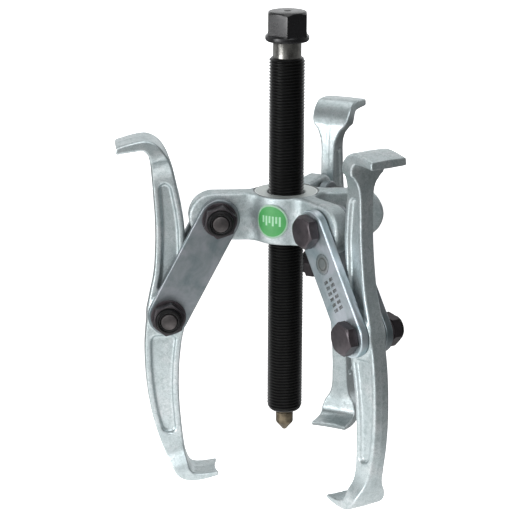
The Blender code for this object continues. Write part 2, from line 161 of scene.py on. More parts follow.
def both(a, b, radius):
    """Where a and b meet, with the edge between them rounded."""
    near = np.hypot(np.maximum(a + radius, 0.0), np.maximum(b + radius, 0.0))
    return np.minimum(np.maximum(a, b), -radius) + near


def either(a, b, radius):
    """a and b joined, with a fillet between them."""
    return -both(-a, -b, radius)


def without(a, b, radius):
    """a with b cut away, and the edge of the cut rounded."""
    return both(a, -b, radius)


def smooth_rows(rows, steps):
    """A Catmull-Rom curve through the rows, with this many steps between two."""
    rows = np.array(rows, float)
    padded = np.vstack((2 * rows[0] - rows[1], rows, 2 * rows[-1] - rows[-2]))
    made = []
    for p0, p1, p2, p3 in zip(padded, padded[1:], padded[2:], padded[3:]):
        for t in np.arange(steps) / steps:
            a = 2 * p1 + (p2 - p0) * t + (2 * p0 - 5 * p1 + 4 * p2 - p3) * t**2
            made.append((a + (3 * p1 - p0 - 3 * p2 + p3) * t**3) / 2)
    made.append(rows[-1])
    return np.array(made)


def along_line(u, v, points):
    """Each grid point's distance to a polyline, and its place along it in segments."""
    best, place = np.full(u.shape, 1e9), np.zeros(u.shape)
    for i, ((u0, v0), (u1, v1)) in enumerate(zip(points, points[1:])):
        du, dv = u1 - u0, v1 - v0
        t = np.clip(((u - u0) * du + (v - v0) * dv) / (du * du + dv * dv), 0.0, 1.0)
        far = np.hypot(u - u0 - t * du, v - v0 - t * dv)
        nearer = far < best
        best[nearer], place[nearer] = far[nearer], (i + t)[nearer]
    return best, place


def within(u, v, points):
    """True inside the closed outline."""
    inside = np.zeros(u.shape, bool)
    for (u0, v0), (u1, v1) in zip(points, np.roll(points, -1, axis=0)):
        if v0 != v1:
            crossing = (v0 > v) != (v1 > v)
            inside ^= crossing & (u < u0 + (u1 - u0) * (v - v0) / (v1 - v0))
    return inside


def axes_of(low, high, step):
    """The grid's three axes, with a margin round the box from low to high."""
    return [np.arange(a - 2.5 * step, b + 3.0 * step, step) for a, b in zip(low, high)]


def skin(field, axes):
    """(points, quads) over the field's zero level: one point in each cell that it crosses."""
    inside = field < 0.0
    cells = np.array(field.shape) - 1
    stride = np.array((cells[1] * cells[2], cells[2], 1))
    keys, places, loops = [], [], []
    for axis in range(3):
        low, high = [slice(None)] * 3, [slice(None)] * 3
        low[axis], high[axis] = slice(0, -1), slice(1, None)
        at = np.argwhere(inside[tuple(low)] != inside[tuple(high)])
        after = at.copy()
        after[:, axis] += 1
        f0, f1 = field[tuple(at.T)], field[tuple(after.T)]
        point = at.astype(float)
        point[:, axis] += f0 / (f0 - f1)
        b, c = (axis + 1) % 3, (axis + 2) % 3
        ring = []
        for step_b, step_c in ((0, 0), (-1, 0), (-1, -1), (0, -1)):
            cell = at.copy()
            cell[:, b] += step_b
            cell[:, c] += step_c
            ring.append(cell @ stride)
            keys.append(ring[-1])
            places.append(point)
        ring = np.stack(ring, axis=1)
        outward = inside[tuple(at.T)]
        loops.append(np.where(outward[:, None], ring, ring[:, ::-1]))
    keys, index = np.unique(np.concatenate(keys), return_inverse=True)
    places = np.concatenate(places)
    count = np.bincount(index)
    points = np.stack([np.bincount(index, places[:, i]) / count for i in range(3)], axis=1)
    for i, axis in enumerate(axes):
        points[:, i] = axis[0] + points[:, i] * (axis[1] - axis[0])
    return points, np.searchsorted(keys, np.concatenate(loops))


def waviness(x, y, z):
    """The slow unevenness of a forged surface, between about -1 and 1."""
    slow = np.sin(0.31 * x + 1.3 * np.sin(0.19 * z)) * np.sin(0.23 * z + 0.9 * np.sin(0.37 * y))
    return 0.6 * slow + 0.4 * np.sin(0.71 * x + 0.53 * y) * np.sin(0.47 * z + 0.33 * x)


# Meshes


def mesh_of(name, points, quads):
    """A smooth mesh of quads over points in mm."""
    mesh = bpy.data.meshes.new(name)
    mesh.vertices.add(len(points))
    mesh.vertices.foreach_set("co", np.ascontiguousarray(points * MM, np.float32).ravel())
    mesh.loops.add(quads.size)
    mesh.loops.foreach_set("vertex_index", np.ascontiguousarray(quads, np.int32).ravel())
    mesh.polygons.add(len(quads))
    mesh.polygons.foreach_set("loop_start", np.arange(0, quads.size, 4, dtype=np.int32))
    mesh.update(calc_edges=True)
    mesh.shade_smooth()
    return mesh


def mesh_from_rings(name, rings, closed_loop=False, sharp=35.0, zones=None):
    """A mesh of quads from ring to ring of points in mm. zones gives each band's material."""
    shape = bmesh.new()
    rows = [[shape.verts.new(Vector(point) * MM) for point in ring] for ring in rings]
    pairs = list(zip(rows, rows[1:])) + ([(rows[-1], rows[0])] if closed_loop else [])
    for band, (low, high) in enumerate(pairs):
        for i in range(len(low)):
            j = (i + 1) % len(low)
            face = shape.faces.new((low[i], low[j], high[j], high[i]))
            face.material_index = zones[band] if zones else 0
    bmesh.ops.remove_doubles(shape, verts=shape.verts, dist=1e-6)
    bmesh.ops.dissolve_degenerate(shape, edges=shape.edges, dist=1e-7)
    bmesh.ops.recalc_face_normals(shape, faces=shape.faces)
    mesh = bpy.data.meshes.new(name)
    shape.to_mesh(mesh)
    shape.free()
    mesh.shade_smooth()
    mesh.set_sharp_from_angle(angle=math.radians(sharp))
    return mesh


def turned(profile, segments, axis="Z", phase=0.0):
    """Rings turned from (radius, height) pairs about Z, or about an arm's Y axis."""
    rings = []
    for radius, height in profile:
        ring = []
        for i in range(segments):
            a = phase + math.tau * i / segments
            x, y = radius * math.cos(a), radius * math.sin(a)
            ring.append((x, y, height) if axis == "Z" else (x, height, y))
        rings.append(ring)
    return rings


def rounded(corners, radius, steps=3):
    """A (radius, height) profile with its inner corners rounded. A corner may give a radius."""
    made = [corners[0][:2]]
    for before, corner, after in zip(corners, corners[1:], corners[2:]):
        r = corner[2] if len(corner) > 2 else radius
        p, a, b = Vector(corner[:2]), Vector(before[:2]), Vector(after[:2])
        to_a, to_b = (a - p).normalized(), (b - p).normalized()
        half = to_a.angle(to_b) / 2
        back = min(r / math.tan(half), (a - p).length * 0.49, (b - p).length * 0.49)
        for i in range(steps + 1):
            t = i / steps
            first, last = p + to_a * back, p + to_b * back
            made.append(tuple(first * (1 - t) ** 2 + p * (2 * t * (1 - t)) + last * t**2))
    made.append(corners[-1][:2])
    return made


# Materials


def node(tree, kind, inputs=None, **settings):
    """A shader node with its settings and inputs. An input is a value or a node's output."""
    made = tree.nodes.new(kind)
    for name, value in settings.items():
        setattr(made, name, value)
    for name, value in (inputs or {}).items():
        if isinstance(value, bpy.types.NodeSocket):
            tree.links.new(value, made.inputs[name])
        else:
            made.inputs[name].default_value = value
    return made


def noise(tree, place, scale, detail=3.0, roughness=0.55, distortion=0.0):
    inputs = {
        "Vector": place,
        "Scale": scale,
        "Detail": detail,
        "Roughness": roughness,
        "Distortion": distortion,
    }
    return node(tree, "ShaderNodeTexNoise", inputs).outputs["Fac"]


def ramp(tree, value, stops):
    """A colour or grey ramp: stops are (position, colour or number)."""
    made = node(tree, "ShaderNodeValToRGB", {"Fac": value})
    elements = made.color_ramp.elements
    while len(elements) < len(stops):
        elements.new(0.5)
    for element, (position, colour) in zip(elements, stops):
        element.position = position
        element.color = (*colour, 1.0) if isinstance(colour, tuple) else (colour,) * 3 + (1.0,)
    return made.outputs["Color"]


def mixed(tree, factor, a, b):
    """Colour a where the factor is 0 and b where it is 1."""
    made = node(tree, "ShaderNodeMix", data_type="RGBA")
    for name, value in (("Factor", factor), ("A", a), ("B", b)):
        socket = [s for s in made.inputs if s.name == name and s.enabled][0]
        if isinstance(value, bpy.types.NodeSocket):
            tree.links.new(value, socket)
        else:
            socket.default_value = (*value, 1.0) if isinstance(value, tuple) else value
    return [s for s in made.outputs if s.enabled][0]


def new_material(name, metallic):
    """(material, its node tree, its shader, the place on the object)"""
    material = bpy.data.materials.new(name)
    material.use_nodes = True
    tree = material.node_tree
    shader = tree.nodes["Principled BSDF"]
    shader.inputs["Metallic"].default_value = metallic
    place = node(tree, "ShaderNodeTexCoord").outputs["Object"]
    return material, tree, shader, place


def bumped(tree, shader, heights, distance):
    """Bump from several (height, strength) pairs, the coarsest first."""
    normal = None
    for height, strength in heights:
        inputs = {"Height": height, "Strength": strength, "Distance": distance}
        if normal:
            inputs["Normal"] = normal
        normal = node(tree, "ShaderNodeBump", inputs).outputs["Normal"]
    tree.links.new(normal, shader.inputs["Normal"])


def forged_zinc(name, light=1.0, rough=0.31):
    """Zinc plate over a shot-blasted forging: pale blue-green grey, mottled and grainy."""
    material, tree, shader, place = new_material(name, 0.85)
    clouds = noise(tree, place, 75.0, 4.0, 0.6, 0.4)
    mottle = noise(tree, place, 420.0, 5.0, 0.65, 0.6)
    grain = noise(tree, place, 1700.0, 3.0, 0.6)
    shades = ((0.30, (0.44, 0.50, 0.515)), (0.5, (0.53, 0.59, 0.60)), (0.70, (0.61, 0.64, 0.65)))
    body = ramp(tree, clouds, [(at, tuple(c * light for c in shade)) for at, shade in shades])
    dark = ramp(tree, mottle, [(0.34, 0.0), (0.54, 1.0)])
    colour = mixed(tree, dark, (0.40 * light, 0.46 * light, 0.465 * light), body)
    specks = ramp(tree, grain, [(0.38, 0.45), (0.54, 0.0)])
    colour = mixed(tree, specks, colour, (0.29 * light, 0.34 * light, 0.35 * light))
    spread = ramp(tree, mottle, [(0.3, rough + 0.11), (0.7, rough)])
    tree.links.new(spread, shader.inputs["Roughness"])
    bumped(tree, shader, [(clouds, 0.5), (mottle, 0.20), (grain, 0.05)], 0.0004)
    return material, tree, shader, place, colour


def make_forged_zinc():
    material, tree, shader, _, colour = forged_zinc("forged_zinc")
    tree.links.new(colour, shader.inputs["Base Color"])
    return material


def math_node(tree, operation, a, b=0.0):
    return node(tree, "ShaderNodeMath", {0: a, 1: b}, operation=operation).outputs[0]


def line_mask(tree, distance, centre, half_width):
    """1 where the distance is at the centre, falling to 0 at the half width away."""
    off = math_node(tree, "ABSOLUTE", math_node(tree, "SUBTRACT", distance, centre))
    near = math_node(tree, "SUBTRACT", 1.0, math_node(tree, "DIVIDE", off, half_width))
    return node(tree, "ShaderNodeClamp", {"Value": near}).outputs[0]


def make_yoke_zinc():
    """The same plate over the yoke, dimmed a little as painted shade, with the turned spot face
    round the bore, a painted shadow line at its step and a painted highlight along its lip.
    """
    # 0.95 makes the colour a little darker than the jaws' plate: painted shade on the yoke.
    material, tree, shader, place, colour = forged_zinc("yoke_zinc", 0.95, 0.48)
    onto_plane = {0: place, 1: (1.0, 1.0, 0.0)}
    flat = node(tree, "ShaderNodeVectorMath", onto_plane, operation="MULTIPLY").outputs["Vector"]
    length = node(tree, "ShaderNodeVectorMath", {0: flat}, operation="LENGTH")
    reach = length.outputs["Value"]
    # A thin dark ring at the spot face's step: painted shade in the corner.
    edge = line_mask(tree, reach, SPOT_FACE_RADIUS * MM, 0.75 * MM)
    # A pale ring just inside the step: painted highlight along the lip.
    painted_lip_highlight = line_mask(tree, reach, 17.9 * MM, 0.4 * MM)
    height = node(tree, "ShaderNodeSeparateXYZ", {"Vector": place}).outputs["Z"]
    top = math_node(tree, "GREATER_THAN", height, (PIVOT_HEIGHT + 13.2) * MM)
    face = math_node(tree, "MULTIPLY", math_node(tree, "LESS_THAN", reach, 18.6 * MM), top)
    turning = {"Vector": flat, "Scale": 420.0, "Distortion": 0.4}
    rings = node(tree, "ShaderNodeTexWave", turning, wave_type="RINGS", rings_direction="Z")
    shades = [(0.2, (0.50, 0.54, 0.53)), (0.8, (0.63, 0.66, 0.64))]
    colour = mixed(tree, face, colour, ramp(tree, rings.outputs["Fac"], shades))
    # The painted highlight on the lip, then the painted shade line at the step.
    colour = mixed(tree, math_node(tree, "MULTIPLY", painted_lip_highlight, top), colour, (0.82, 0.86, 0.86))
    colour = mixed(tree, math_node(tree, "MULTIPLY", edge, top), colour, (0.10, 0.11, 0.11))
    tree.links.new(colour, shader.inputs["Base Color"])
    return material


def bar_zinc(name, light=1.0):
    """Zinc plate over rolled bar: smoother than a forging, faintly streaked, and darker, partly
    as painted shade. The light factor scales the colour up for a lit copy, which is painted
    light.
    """
    material, tree, shader, place = new_material(name, 0.9)
    stretched = node(tree, "ShaderNodeMapping", {"Vector": place, "Scale": (0.35, 1.0, 1.0)})
    streaks = noise(tree, stretched.outputs["Vector"], 380.0, 4.0, 0.6, 0.3)
    clouds = noise(tree, place, 62.0, 4.0, 0.55, 0.8)
    grain = noise(tree, place, 1300.0, 2.0)
    # Dark shades, partly painted shade of the links that face away from the light.
    shades = (
        (0.36, (0.145, 0.185, 0.20)),
        (0.50, (0.205, 0.235, 0.25)),
        (0.64, (0.265, 0.285, 0.31)),
    )
    body = ramp(tree, clouds, [(at, tuple(c * light for c in shade)) for at, shade in shades])
    colour = mixed(tree, 0.14, body, ramp(tree, streaks, [(0.35, 0.15), (0.65, 0.36)]))
    tree.links.new(ramp(tree, streaks, [(0.3, 0.44), (0.7, 0.36)]), shader.inputs["Roughness"])
    return material, tree, shader, place, colour, [(clouds, 0.12), (streaks, 0.06), (grain, 0.06)]


def make_link_zinc():
    material, tree, shader, _, colour, heights = bar_zinc("link_zinc")
    tree.links.new(colour, shader.inputs["Base Color"])
    bumped(tree, shader, heights, 0.0003)
    return material


def make_stamped_zinc_painted_light():
    """Bar plate with its body colour 2.5 times as light as the other links', which is painted
    light, and a stamp of two plain rings and two rows of dashes, which say nothing.
    """
    # 2.5: the colour raised to the front link's lit look, painted light.
    material, tree, shader, place, colour, heights = bar_zinc("stamped_zinc_painted_light", 2.5)
    rings_at, dashes_from, dashes_to, row_offset = 20.5 * MM, 29.0 * MM, 49.4 * MM, 2.6 * MM

    def times(a, b):
        return math_node(tree, "MULTIPLY", a, b)

    def larger(a, b):
        return math_node(tree, "MAXIMUM", a, b)

    parts = node(tree, "ShaderNodeSeparateXYZ", {"Vector": place})
    along, across = parts.outputs["X"], parts.outputs["Z"]
    aside = math_node(tree, "SUBTRACT", along, rings_at)
    squares = math_node(tree, "ADD", times(aside, aside), times(across, across))
    reach = math_node(tree, "SQRT", squares)
    outer_ring = line_mask(tree, reach, 5.6 * MM, 0.9 * MM)
    inner_ring = line_mask(tree, reach, 3.4 * MM, 0.8 * MM)
    past = math_node(tree, "SUBTRACT", along, dashes_from)
    period = math_node(tree, "PINGPONG", past, 1.7 * MM)
    dash = math_node(tree, "GREATER_THAN", period, 0.72 * MM)
    dash = times(dash, math_node(tree, "GREATER_THAN", along, dashes_from))
    dash = times(dash, math_node(tree, "LESS_THAN", along, dashes_to))
    upper_row = line_mask(tree, across, row_offset, 2.1 * MM)
    lower_row = line_mask(tree, across, -row_offset, 2.1 * MM)
    rows = math_node(tree, "GREATER_THAN", larger(upper_row, lower_row), 0.12)
    stamp = larger(larger(outer_ring, inner_ring), times(dash, rows))
    disc = times(math_node(tree, "LESS_THAN", reach, 5.0 * MM), 0.5)
    colour = mixed(tree, disc, colour, (0.16, 0.13, 0.10))
    worn = times(stamp, ramp(tree, noise(tree, place, 700.0, 3.0), [(0.35, 0.55), (0.6, 1.0)]))
    colour = mixed(tree, times(worn, 0.85), colour, (0.07, 0.07, 0.06))
    tree.links.new(colour, shader.inputs["Base Color"])
    sunk = math_node(tree, "SUBTRACT", 1.0, worn)
    bumped(tree, shader, heights + [(sunk, 0.45)], 0.0003)
    return material


def make_black(name, dark, light, rough, metallic, specular):
    """Black oxide, faintly uneven, a little brown or violet where it is thin."""
    material, tree, shader, place = new_material(name, metallic)
    shader.inputs["Specular IOR Level"].default_value = specular
    clouds = noise(tree, place, 160.0, 4.0, 0.6)
    grain = noise(tree, place, 1400.0, 3.0)
    tree.links.new(ramp(tree, clouds, [(0.35, dark), (0.7, light)]), shader.inputs["Base Color"])
    spread = ramp(tree, clouds, [(0.3, rough + 0.06), (0.7, rough - 0.05)])
    tree.links.new(spread, shader.inputs["Roughness"])
    bumped(tree, shader, [(clouds, 0.10), (grain, 0.08)], 0.0003)
    return material


def make_tip_steel():
    """Hardened and tempered steel: brown and straw shades, with turning marks."""
    material, tree, shader, place = new_material("tip_steel", 0.9)
    squashed = node(tree, "ShaderNodeMapping", {"Vector": place, "Scale": (0.1, 0.1, 1.0)})
    rings = noise(tree, squashed.outputs["Vector"], 2600.0, 2.0)
    clouds = noise(tree, place, 260.0, 3.0)
    body = ramp(tree, clouds, [(0.35, (0.085, 0.070, 0.050)), (0.65, (0.17, 0.14, 0.095))])
    tree.links.new(body, shader.inputs["Base Color"])
    tree.links.new(ramp(tree, rings, [(0.3, 0.48), (0.7, 0.32)]), shader.inputs["Roughness"])
    bumped(tree, shader, [(rings, 0.12)], 0.0003)
    return material


def make_plastic(name, colour, rough):
    """Plain plastic or paper, a little deeper in patches."""
    material, tree, shader, place = new_material(name, 0.0)
    clouds = noise(tree, place, 300.0, 3.0)
    deeper = tuple(c * 0.88 for c in colour)
    body = ramp(tree, clouds, [(0.35, deeper), (0.65, colour)])
    tree.links.new(body, shader.inputs["Base Color"])
    spread = ramp(tree, clouds, [(0.3, rough + 0.06), (0.7, rough - 0.04)])
    tree.links.new(spread, shader.inputs["Roughness"])
    bumped(tree, shader, [(clouds, 0.04)], 0.0002)
    return material


def make_materials():
    materials = {
        "forged_zinc": make_forged_zinc(),
        "yoke_zinc": make_yoke_zinc(),
        "link_zinc": make_link_zinc(),
        "stamped_zinc_painted_light": make_stamped_zinc_painted_light(),
    }
    # name: darker and lighter colour, roughness, metallic, specular level
    blacks = {
        "black_oxide": ((0.040, 0.034, 0.038), (0.082, 0.070, 0.077), 0.36, 0.6, 0.5),
        "nut_black": ((0.020, 0.017, 0.019), (0.040, 0.034, 0.038), 0.34, 0.6, 0.5),
        "nut_collar": ((0.003, 0.003, 0.003), (0.007, 0.006, 0.007), 0.40, 0.3, 0.25),
        "bolt_end": ((0.05, 0.046, 0.046), (0.11, 0.10, 0.10), 0.38, 0.8, 0.5),
        "spindle_black": ((0.003, 0.003, 0.003), (0.007, 0.007, 0.007), 0.32, 0.3, 0.3),
        "drive_black": ((0.008, 0.008, 0.009), (0.014, 0.014, 0.015), 0.26, 0.4, 0.6),
        "neck_steel": ((0.10, 0.098, 0.092), (0.30, 0.295, 0.275), 0.22, 0.9, 0.5),
    }
    for name, look in blacks.items():
        materials[name] = make_black(name, *look)
    materials["tip_steel"] = make_tip_steel()
    # name: colour, roughness
    plastics = {
        "nylon": ((0.012, 0.012, 0.013), 0.5),
        "label_green": ((0.060, 0.31, 0.085), 0.42),
        "label_edge": ((0.30, 0.46, 0.34), 0.45),
        "label_print": ((0.33, 0.60, 0.38), 0.42),
    }
    for name, look in plastics.items():
        materials[name] = make_plastic(name, *look)
    return materials


# Placing pieces


def add_piece(name, mesh, materials, node_name, body, matrix=None):
    """An object that stands for one CAD node and rides on its body."""
    piece = bpy.data.objects.new(name, mesh)
    bpy.context.scene.collection.objects.link(piece)
    if not mesh.materials:
        for material in materials:
            mesh.materials.append(material)
    if matrix is not None:
        piece.matrix_world = matrix
    bpy.context.view_layer.update()
    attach(piece, body)
    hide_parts(node_name)


def arm_axes(joint):
    """An arm's (outward, across, up) unit vectors, from its pivot: across points to the nuts."""
    across, up = -Vector(joint["axis"]).normalized(), Vector((0.0, 0.0, 1.0))
    return across.cross(up), across, up


def arm_matrix(origin, axes, tilt):
    """Arm space placed at a pivot, its x axis tilted below the horizontal by this angle."""
    outward, across, up = axes
    x = outward * math.cos(tilt) - up * math.sin(tilt)
    z = outward * math.sin(tilt) + up * math.cos(tilt)
    matrix = Matrix((x, across, z)).transposed().to_4x4()
    matrix.translation = origin
    return matrix


# The spindle and its tip


def blank_radius(z):
    """The round-ended blank that the thread is cut in."""
    low = z - THREAD_START
    if low < END_LENGTH:
        bulge = math.sqrt(max(0.0, 1.0 - (1.0 - low / END_LENGTH) ** 2))
        return THREAD_RADIUS - END_DROP + END_DROP * bulge
    return THREAD_RADIUS - max(0.0, z - (THREAD_TOP - TOP_CHAMFER))


def thread_mesh():
    """The thread's helix, cut off level at its two ends."""
    # One pitch of thread: crest, flank, root, flank, as shares of the pitch and of the depth
    tooth = (
        (0.0, 0.0),
        (0.10, 0.0),
        (0.19, 0.12),
        (0.42, 0.88),
        (0.50, 1.0),
        (0.60, 1.0),
        (0.68, 0.88),
        (0.91, 0.12),
    )
    turns = int((THREAD_TOP - THREAD_START) / PITCH) + 3
    shape = bmesh.new()
    rows = []
    for turn in range(-1, turns):
        for share, depth in tooth:
            row = []
            for i in range(SPINDLE_SEGMENTS + 1):
                z = THREAD_START + PITCH * (turn + share + i / SPINDLE_SEGMENTS)
                z = min(max(z, THREAD_START), THREAD_TOP)
                r = min(THREAD_RADIUS - THREAD_DEPTH * depth, blank_radius(z))
                a = math.tau * i / SPINDLE_SEGMENTS
                row.append(shape.verts.new(Vector((r * math.cos(a), r * math.sin(a), z)) * MM))
            rows.append(row)
    # A helix can't close row by row: a row's last point is the first point of the row a turn on.
    for low, high in zip(rows, rows[1:]):
        for i in range(SPINDLE_SEGMENTS):
            if (low[i].co - high[i].co).length + (low[i + 1].co - high[i + 1].co).length > 1e-7:
                shape.faces.new((low[i], low[i + 1], high[i + 1], high[i]))
    bmesh.ops.remove_doubles(shape, verts=shape.verts, dist=2e-6)
    bmesh.ops.dissolve_degenerate(shape, edges=shape.edges, dist=1e-6)
    mesh = bpy.data.meshes.new("thread")
    shape.to_mesh(mesh)
    shape.free()
    return mesh


def make_spindle(materials):
    """The screw: thread, tip socket, neck, flange and drive hexagon in one mesh."""
    end = [
        (SOCKET_RADIUS, SOCKET_TOP),
        (SOCKET_RADIUS, THREAD_START),
        (THREAD_RADIUS - END_DROP, THREAD_START),
    ]
    socket_end = [(0.0, SOCKET_TOP), (SOCKET_RADIUS, SOCKET_TOP)]
    neck = rounded(
        [
            (THREAD_RADIUS - TOP_CHAMFER, THREAD_TOP),
            (8.15, THREAD_TOP, 0.2),
            (8.15, FLANGE_BASE, 0.7),
            (11.9, FLANGE_BASE, 0.5),
            (12.6, FLANGE_BASE + 0.9, 0.6),
            (12.6, DRIVE_BASE - 0.8, 0.6),
            (11.9, DRIVE_BASE, 0.4),
            (10.0, DRIVE_BASE),
        ],
        0.3,
    )
    neck.append((0.0, DRIVE_BASE))
    parts = [thread_mesh()]
    for profile in (end, socket_end, neck):
        parts.append(mesh_from_rings("turning", turned(profile, SPINDLE_SEGMENTS)))
    parts.append(mesh_from_rings("drive_hexagon", drive_rings()))
    body = bmesh.new()
    for part in parts:
        body.from_mesh(part)
        bpy.data.meshes.remove(part)
    neck_low, neck_high = (THREAD_TOP + 0.25) * MM, (FLANGE_BASE - 0.1) * MM
    for face in body.faces:
        height = face.calc_center_median().z
        face.material_index = 0 if height <= neck_low else 1 if height < neck_high else 2
    bmesh.ops.remove_doubles(body, verts=body.verts, dist=2e-6)
    bmesh.ops.recalc_face_normals(body, faces=body.faces)
    mesh = bpy.data.meshes.new("spindle_thread")
    body.to_mesh(mesh)
    body.free()
    mesh.shade_smooth()
    mesh.set_sharp_from_angle(angle=math.radians(33.0))
    kinds = [materials["spindle_black"], materials["neck_steel"], materials["drive_black"]]
    add_piece("spindle_screw", mesh, kinds, "spindle", "spindle")


def hex_reach(flats, angle, phase):
    """How far a hexagon's side is from its axis at an angle. A corner lies at the phase."""
    off = (angle - phase) % (math.pi / 3) - math.pi / 6
    return flats / 2.0 / math.cos(off)


def hex_ring(flats, phase, height, radius=None):
    """A ring round a hexagon. height and radius are numbers, or functions of the distance to the
    hexagon's side. With no radius, the ring is the hexagon."""
    ring = []
    for i in range(HEX_POINTS):
        angle = phase + math.tau * i / HEX_POINTS
        reach = hex_reach(flats, angle, phase)
        out = reach if radius is None else radius(reach) if callable(radius) else radius
        up = height(reach) if callable(height) else height
        ring.append((out * math.cos(angle), out * math.sin(angle), up))
    return ring


def drive_rings():
    """The drive hexagon, turned off to 30 degrees at its top, with a shallow centre mark."""
    base, top, edge = DRIVE_BASE, SPINDLE_TOP, 10.35
    slope = math.tan(math.radians(30.0))
    shape = (
        (base - 0.4, 0.0),
        (base - 0.4, lambda r: r + 0.35),
        (base + 0.05, lambda r: r + 0.25),
        (base + 0.55, None),
        (lambda r: top - 0.25 - (r - edge) * slope - 0.12, None),
        (lambda r: top - 0.12 - (r - edge) * slope, lambda r: r - 0.1),
        (top - 0.08, edge + 0.12),
        (top, edge - 0.15),
        (top, 2.1),
        (top - 0.25, 1.8),
        (top - 0.9, 0.0),
    )
    return [hex_ring(DRIVE_FLATS, DRIVE_TURN, height, radius) for height, radius in shape]


def make_tip(materials):
    """The hardened point, and the stem that turns in the spindle's socket."""
    profile = [
        (0.0, 0.0),
        (1.1, 0.0, 0.3),
        (4.95, 4.6, 0.5),
        (5.15, 5.4, 0.5),
        (5.15, 10.9, 0.2),
        (4.75, 11.2, 0.2),
        (4.75, TIP_HEIGHT, 0.2),
        (3.0, TIP_HEIGHT, 0.1),
        (3.0, TIP_HEIGHT + 12.0, 0.3),
        (0.0, TIP_HEIGHT + 12.0),
    ]
    mesh = mesh_from_rings("pressure_tip_body", turned(rounded(profile, 0.3), 48))
    kinds = [materials["tip_steel"]]
    add_piece("pressure_point", mesh, kinds, "pressure_tip", "pressure_tip")


# The yoke and its label


def lug_azimuths():
    found = []
    for arm in ARMS:
        outward = arm_axes(JOINTS[f"link_pivot_{arm}"])[0]
        found.append(math.atan2(outward.y, outward.x))
    return found + [SPARE_LUG_AZIMUTH]


def make_yoke(materials):
    """The forging: a round hub with four flat lugs, its bore, spot face and pivot holes."""
    axes = axes_of((-57.5, -57.5, -14.4), (57.5, 57.5, 14.4), 0.55)
    x, y = np.meshgrid(axes[0], axes[1], indexing="ij")
    z = axes[2][None, None, :]
    around = np.hypot(x, y)
    plan = around - HUB_RADIUS
    end = np.full(x.shape, -20.0)
    holes = []
    for azimuth in lug_azimuths():
        along = x * math.cos(azimuth) + y * math.sin(azimuth)
        across = y * math.cos(azimuth) - x * math.sin(azimuth)
        lug = np.where(along > 0, np.abs(across), np.hypot(along, across)) - LUG_HALF_WIDTH
        plan = either(plan, lug, 4.5)
        end = np.where((along > HUB_RADIUS) & (np.abs(across) < 14.0), along - LUG_END, end)
        hole = np.hypot(along[:, :, None] - PIVOT_RADIUS, z) - BOLT_HOLE_RADIUS
        holes.append(np.where((along > HUB_RADIUS)[:, :, None], hole, 9.0))
    # The dies part at mid height, so the sides lean in a little above and below it.
    sides = plan[:, :, None] + 0.035 * np.abs(z)
    end = end[:, :, None]
    tall = np.where(end > 0, np.hypot(end, z), np.abs(z)) - YOKE_HALF_HEIGHT
    metal = both(sides, tall, 1.7)
    metal = metal + SURFACE_WAVE * waviness(x[:, :, None], y[:, :, None], z)
    metal = metal - 0.12 * np.exp(-((z / PARTING_WIDTH) ** 2))
    around = around[:, :, None]
    spot = both(around - SPOT_FACE_RADIUS, SPOT_FACE_HEIGHT - z, 0.25)
    metal = without(metal, spot, 0.2)
    chamfer = (around - BORE_RADIUS - (np.abs(z) - BORE_CHAMFER_FROM)) / math.sqrt(2.0)
    metal = without(metal, np.minimum(around - BORE_RADIUS, chamfer), 0.15)
    metal = without(metal, np.minimum.reduce(holes), 0.35)
    points, quads = skin(metal, axes)
    points[:, 2] += PIVOT_HEIGHT
    mesh = mesh_of("yoke_forging", points, quads)
    add_piece("yoke_body", mesh, [materials["yoke_zinc"]], "yoke", "yoke")


def make_label(materials):
    """A round sticker that follows the hub: green, a pale border, and plain bars for printing."""
    hub, thick, points = HUB_RADIUS + 0.3, 0.28, 72
    # Rings of the sticker from its middle to its edge, with each one's height above the hub
    reaches = [0.0, 1.0, 2.5, 4.0, 5.5, 7.0, 8.0, 8.55, 8.9, 9.05, 9.4, 9.75, 9.93, 10.0, 10.0]
    lifts = [thick] * 11 + [thick * 0.97, thick * 0.8, thick * 0.4, 0.0]
    green_to = 8.9
    shape = bmesh.new()

    def on_hub(across, up, lift):
        """A vertex over the hub, this far across and up from the sticker's middle."""
        angle = LABEL_AZIMUTH + across / hub
        reach = hub + lift
        point = Vector((reach * math.cos(angle), reach * math.sin(angle), PIVOT_HEIGHT + up))
        return shape.verts.new(point * MM)

    rows = []
    for reach, lift in zip(reaches, lifts):
        turns = [math.tau * i / points for i in range(points)]
        rows.append([on_hub(reach * math.cos(t), reach * math.sin(t), lift) for t in turns])
    back = [shape.verts.new(v.co) for v in rows[-1]]
    rows.append(back)
    for reach, low, high in zip(reaches, rows, rows[1:]):
        for i in range(points):
            j = (i + 1) % points
            face = shape.faces.new((low[i], low[j], high[j], high[i]))
            face.material_index = 0 if reach < green_to else 1
    shape.faces.new(back).material_index = 1
    bmesh.ops.remove_doubles(shape, verts=shape.verts, dist=1e-7)
    # Six upright bars, alternately short and long, that stand a little proud of the green
    under, proud = thick - 0.1, thick + 0.015
    for bar in range(6):
        x0, x1 = -5.6 + 2.05 * bar, -4.45 + 2.05 * bar
        z0, z1 = -0.9 - 1.7 * (bar % 2), 3.1
        corners = ((z0, under), (z0, proud), (z1, proud), (z1, under))
        columns = []
        for x in (x0, (x0 + x1) / 2, x1):
            columns.append([on_hub(x, z, lift) for z, lift in corners])
        for a, b in zip(columns, columns[1:]):
            for i in range(4):
                j = (i + 1) % 4
                shape.faces.new((a[i], b[i], b[j], a[j])).material_index = 2
        for column in (columns[0], columns[-1]):
            shape.faces.new(column).material_index = 2
    bmesh.ops.recalc_face_normals(shape, faces=shape.faces)
    mesh = bpy.data.meshes.new("label_disc")
    shape.to_mesh(mesh)
    shape.free()
    mesh.shade_smooth()
    mesh.set_sharp_from_angle(angle=math.radians(50.0))
    kinds = [materials["label_green"], materials["label_edge"], materials["label_print"]]
    add_piece("hub_sticker", mesh, kinds, "hub_label", "yoke")


# Arms


